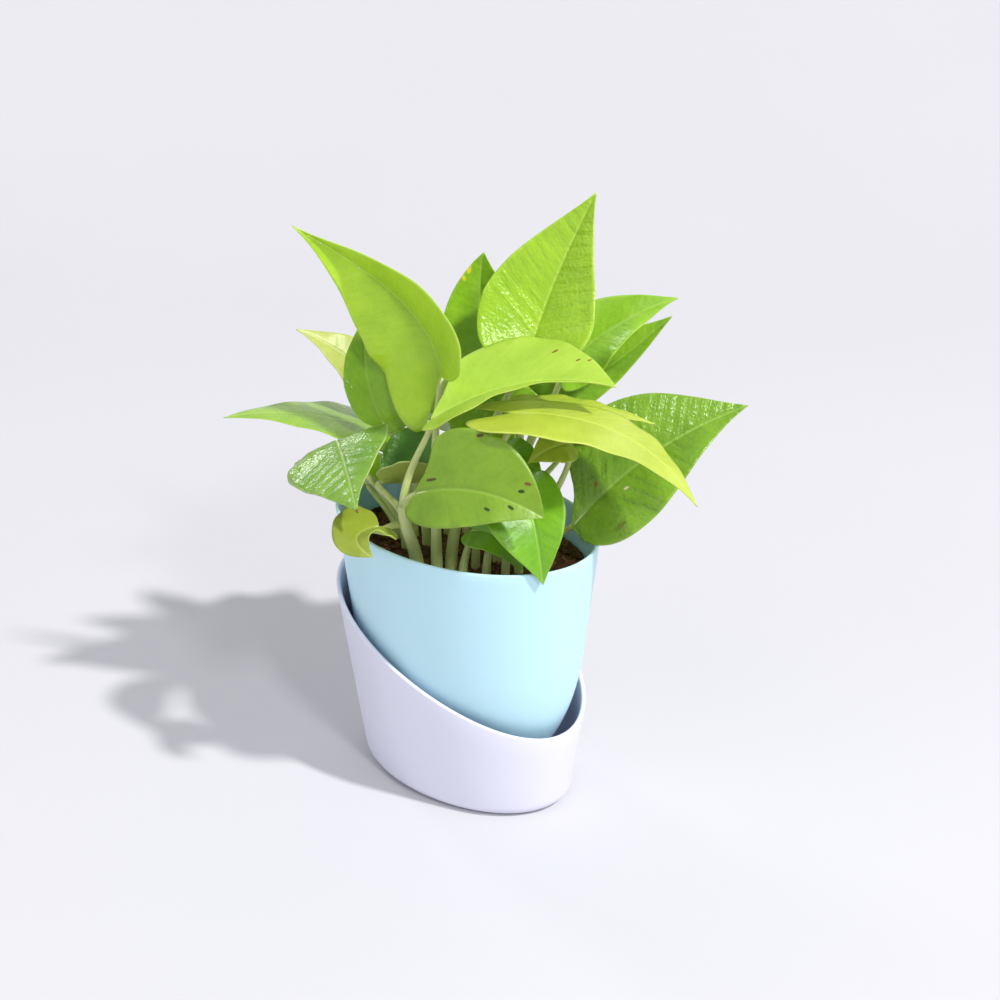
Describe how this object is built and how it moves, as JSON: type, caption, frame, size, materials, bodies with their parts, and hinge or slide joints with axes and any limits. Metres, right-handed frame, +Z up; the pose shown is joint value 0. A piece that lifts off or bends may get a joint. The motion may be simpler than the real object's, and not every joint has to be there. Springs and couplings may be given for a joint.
{
  "type": "potted golden pothos",
  "caption": "Lime-green pothos with broad heart-shaped pointed leaves on long stalks, in an oval self-watering pot whose inner pot stands in a cup with a slanted lip.",
  "frame": {"origin": "middle of the outer cup's flat underside", "axes": "+Z up, the low lip of the outer cup faces -Y and the oval is longer along Y, X is the short way across the oval"},
  "size_m": [0.1944, 0.2228, 0.294],
  "materials": {
    "outer_cup": "smooth moulded plastic with a soft sheen",
    "inner_pot": "fine satin moulded plastic",
    "potting_mix": null,
    "leaf_tall_left": null,
    "leaf_tall_right": null,
    "leaf_tall_behind": null,
    "leaf_right_waved": null,
    "leaf_right_dark": null,
    "leaf_long_yellow": null,
    "leaf_yellow_behind": null,
    "leaf_left_quilted": null,
    "leaf_left_level": null,
    "leaf_left_inner": null,
    "leaf_left_pale": null,
    "leaf_hanging": null,
    "leaf_low_olive": null,
    "leaf_large_right": null,
    "leaf_small_glossy": null,
    "leaf_middle_dark": null,
    "leaf_middle_green": null,
    "leaf_middle_yellow": null,
    "leaf_back_left": null,
    "leaf_back_middle": null,
    "leaf_back_right": null,
    "leaf_back_far_right": null,
    "leaf_back_far_left": null,
    "leaf_back_low": null,
    "leaf_back_upper_left": null,
    "leaf_back_upper_right": null,
    "leafy_stem_front": null
  },
  "bodies": {
    "root": {"outer_cup": "outer_cup", "inner_pot": "inner_pot", "potting_mix": "potting_mix", "leaf_tall_left": "leaf_tall_left", "leaf_tall_right": "leaf_tall_right", "leaf_tall_behind": "leaf_tall_behind", "leaf_right_waved": "leaf_right_waved", "leaf_right_dark": "leaf_right_dark", "leaf_long_yellow": "leaf_long_yellow", "leaf_yellow_behind": "leaf_yellow_behind", "leaf_left_quilted": "leaf_left_quilted", "leaf_left_level": "leaf_left_level", "leaf_left_inner": "leaf_left_inner", "leaf_left_pale": "leaf_left_pale", "leaf_hanging": "leaf_hanging", "leaf_low_olive": "leaf_low_olive", "leaf_large_right": "leaf_large_right", "leaf_small_glossy": "leaf_small_glossy", "leaf_middle_dark": "leaf_middle_dark", "leaf_middle_green": "leaf_middle_green", "leaf_middle_yellow": "leaf_middle_yellow", "leaf_back_left": "leaf_back_left", "leaf_back_middle": "leaf_back_middle", "leaf_back_right": "leaf_back_right", "leaf_back_far_right": "leaf_back_far_right", "leaf_back_far_left": "leaf_back_far_left", "leaf_back_low": "leaf_back_low", "leaf_back_upper_left": "leaf_back_upper_left", "leaf_back_upper_right": "leaf_back_upper_right", "leafy_stem_front": "leafy_stem_front"}
  },
  "joints": []
}
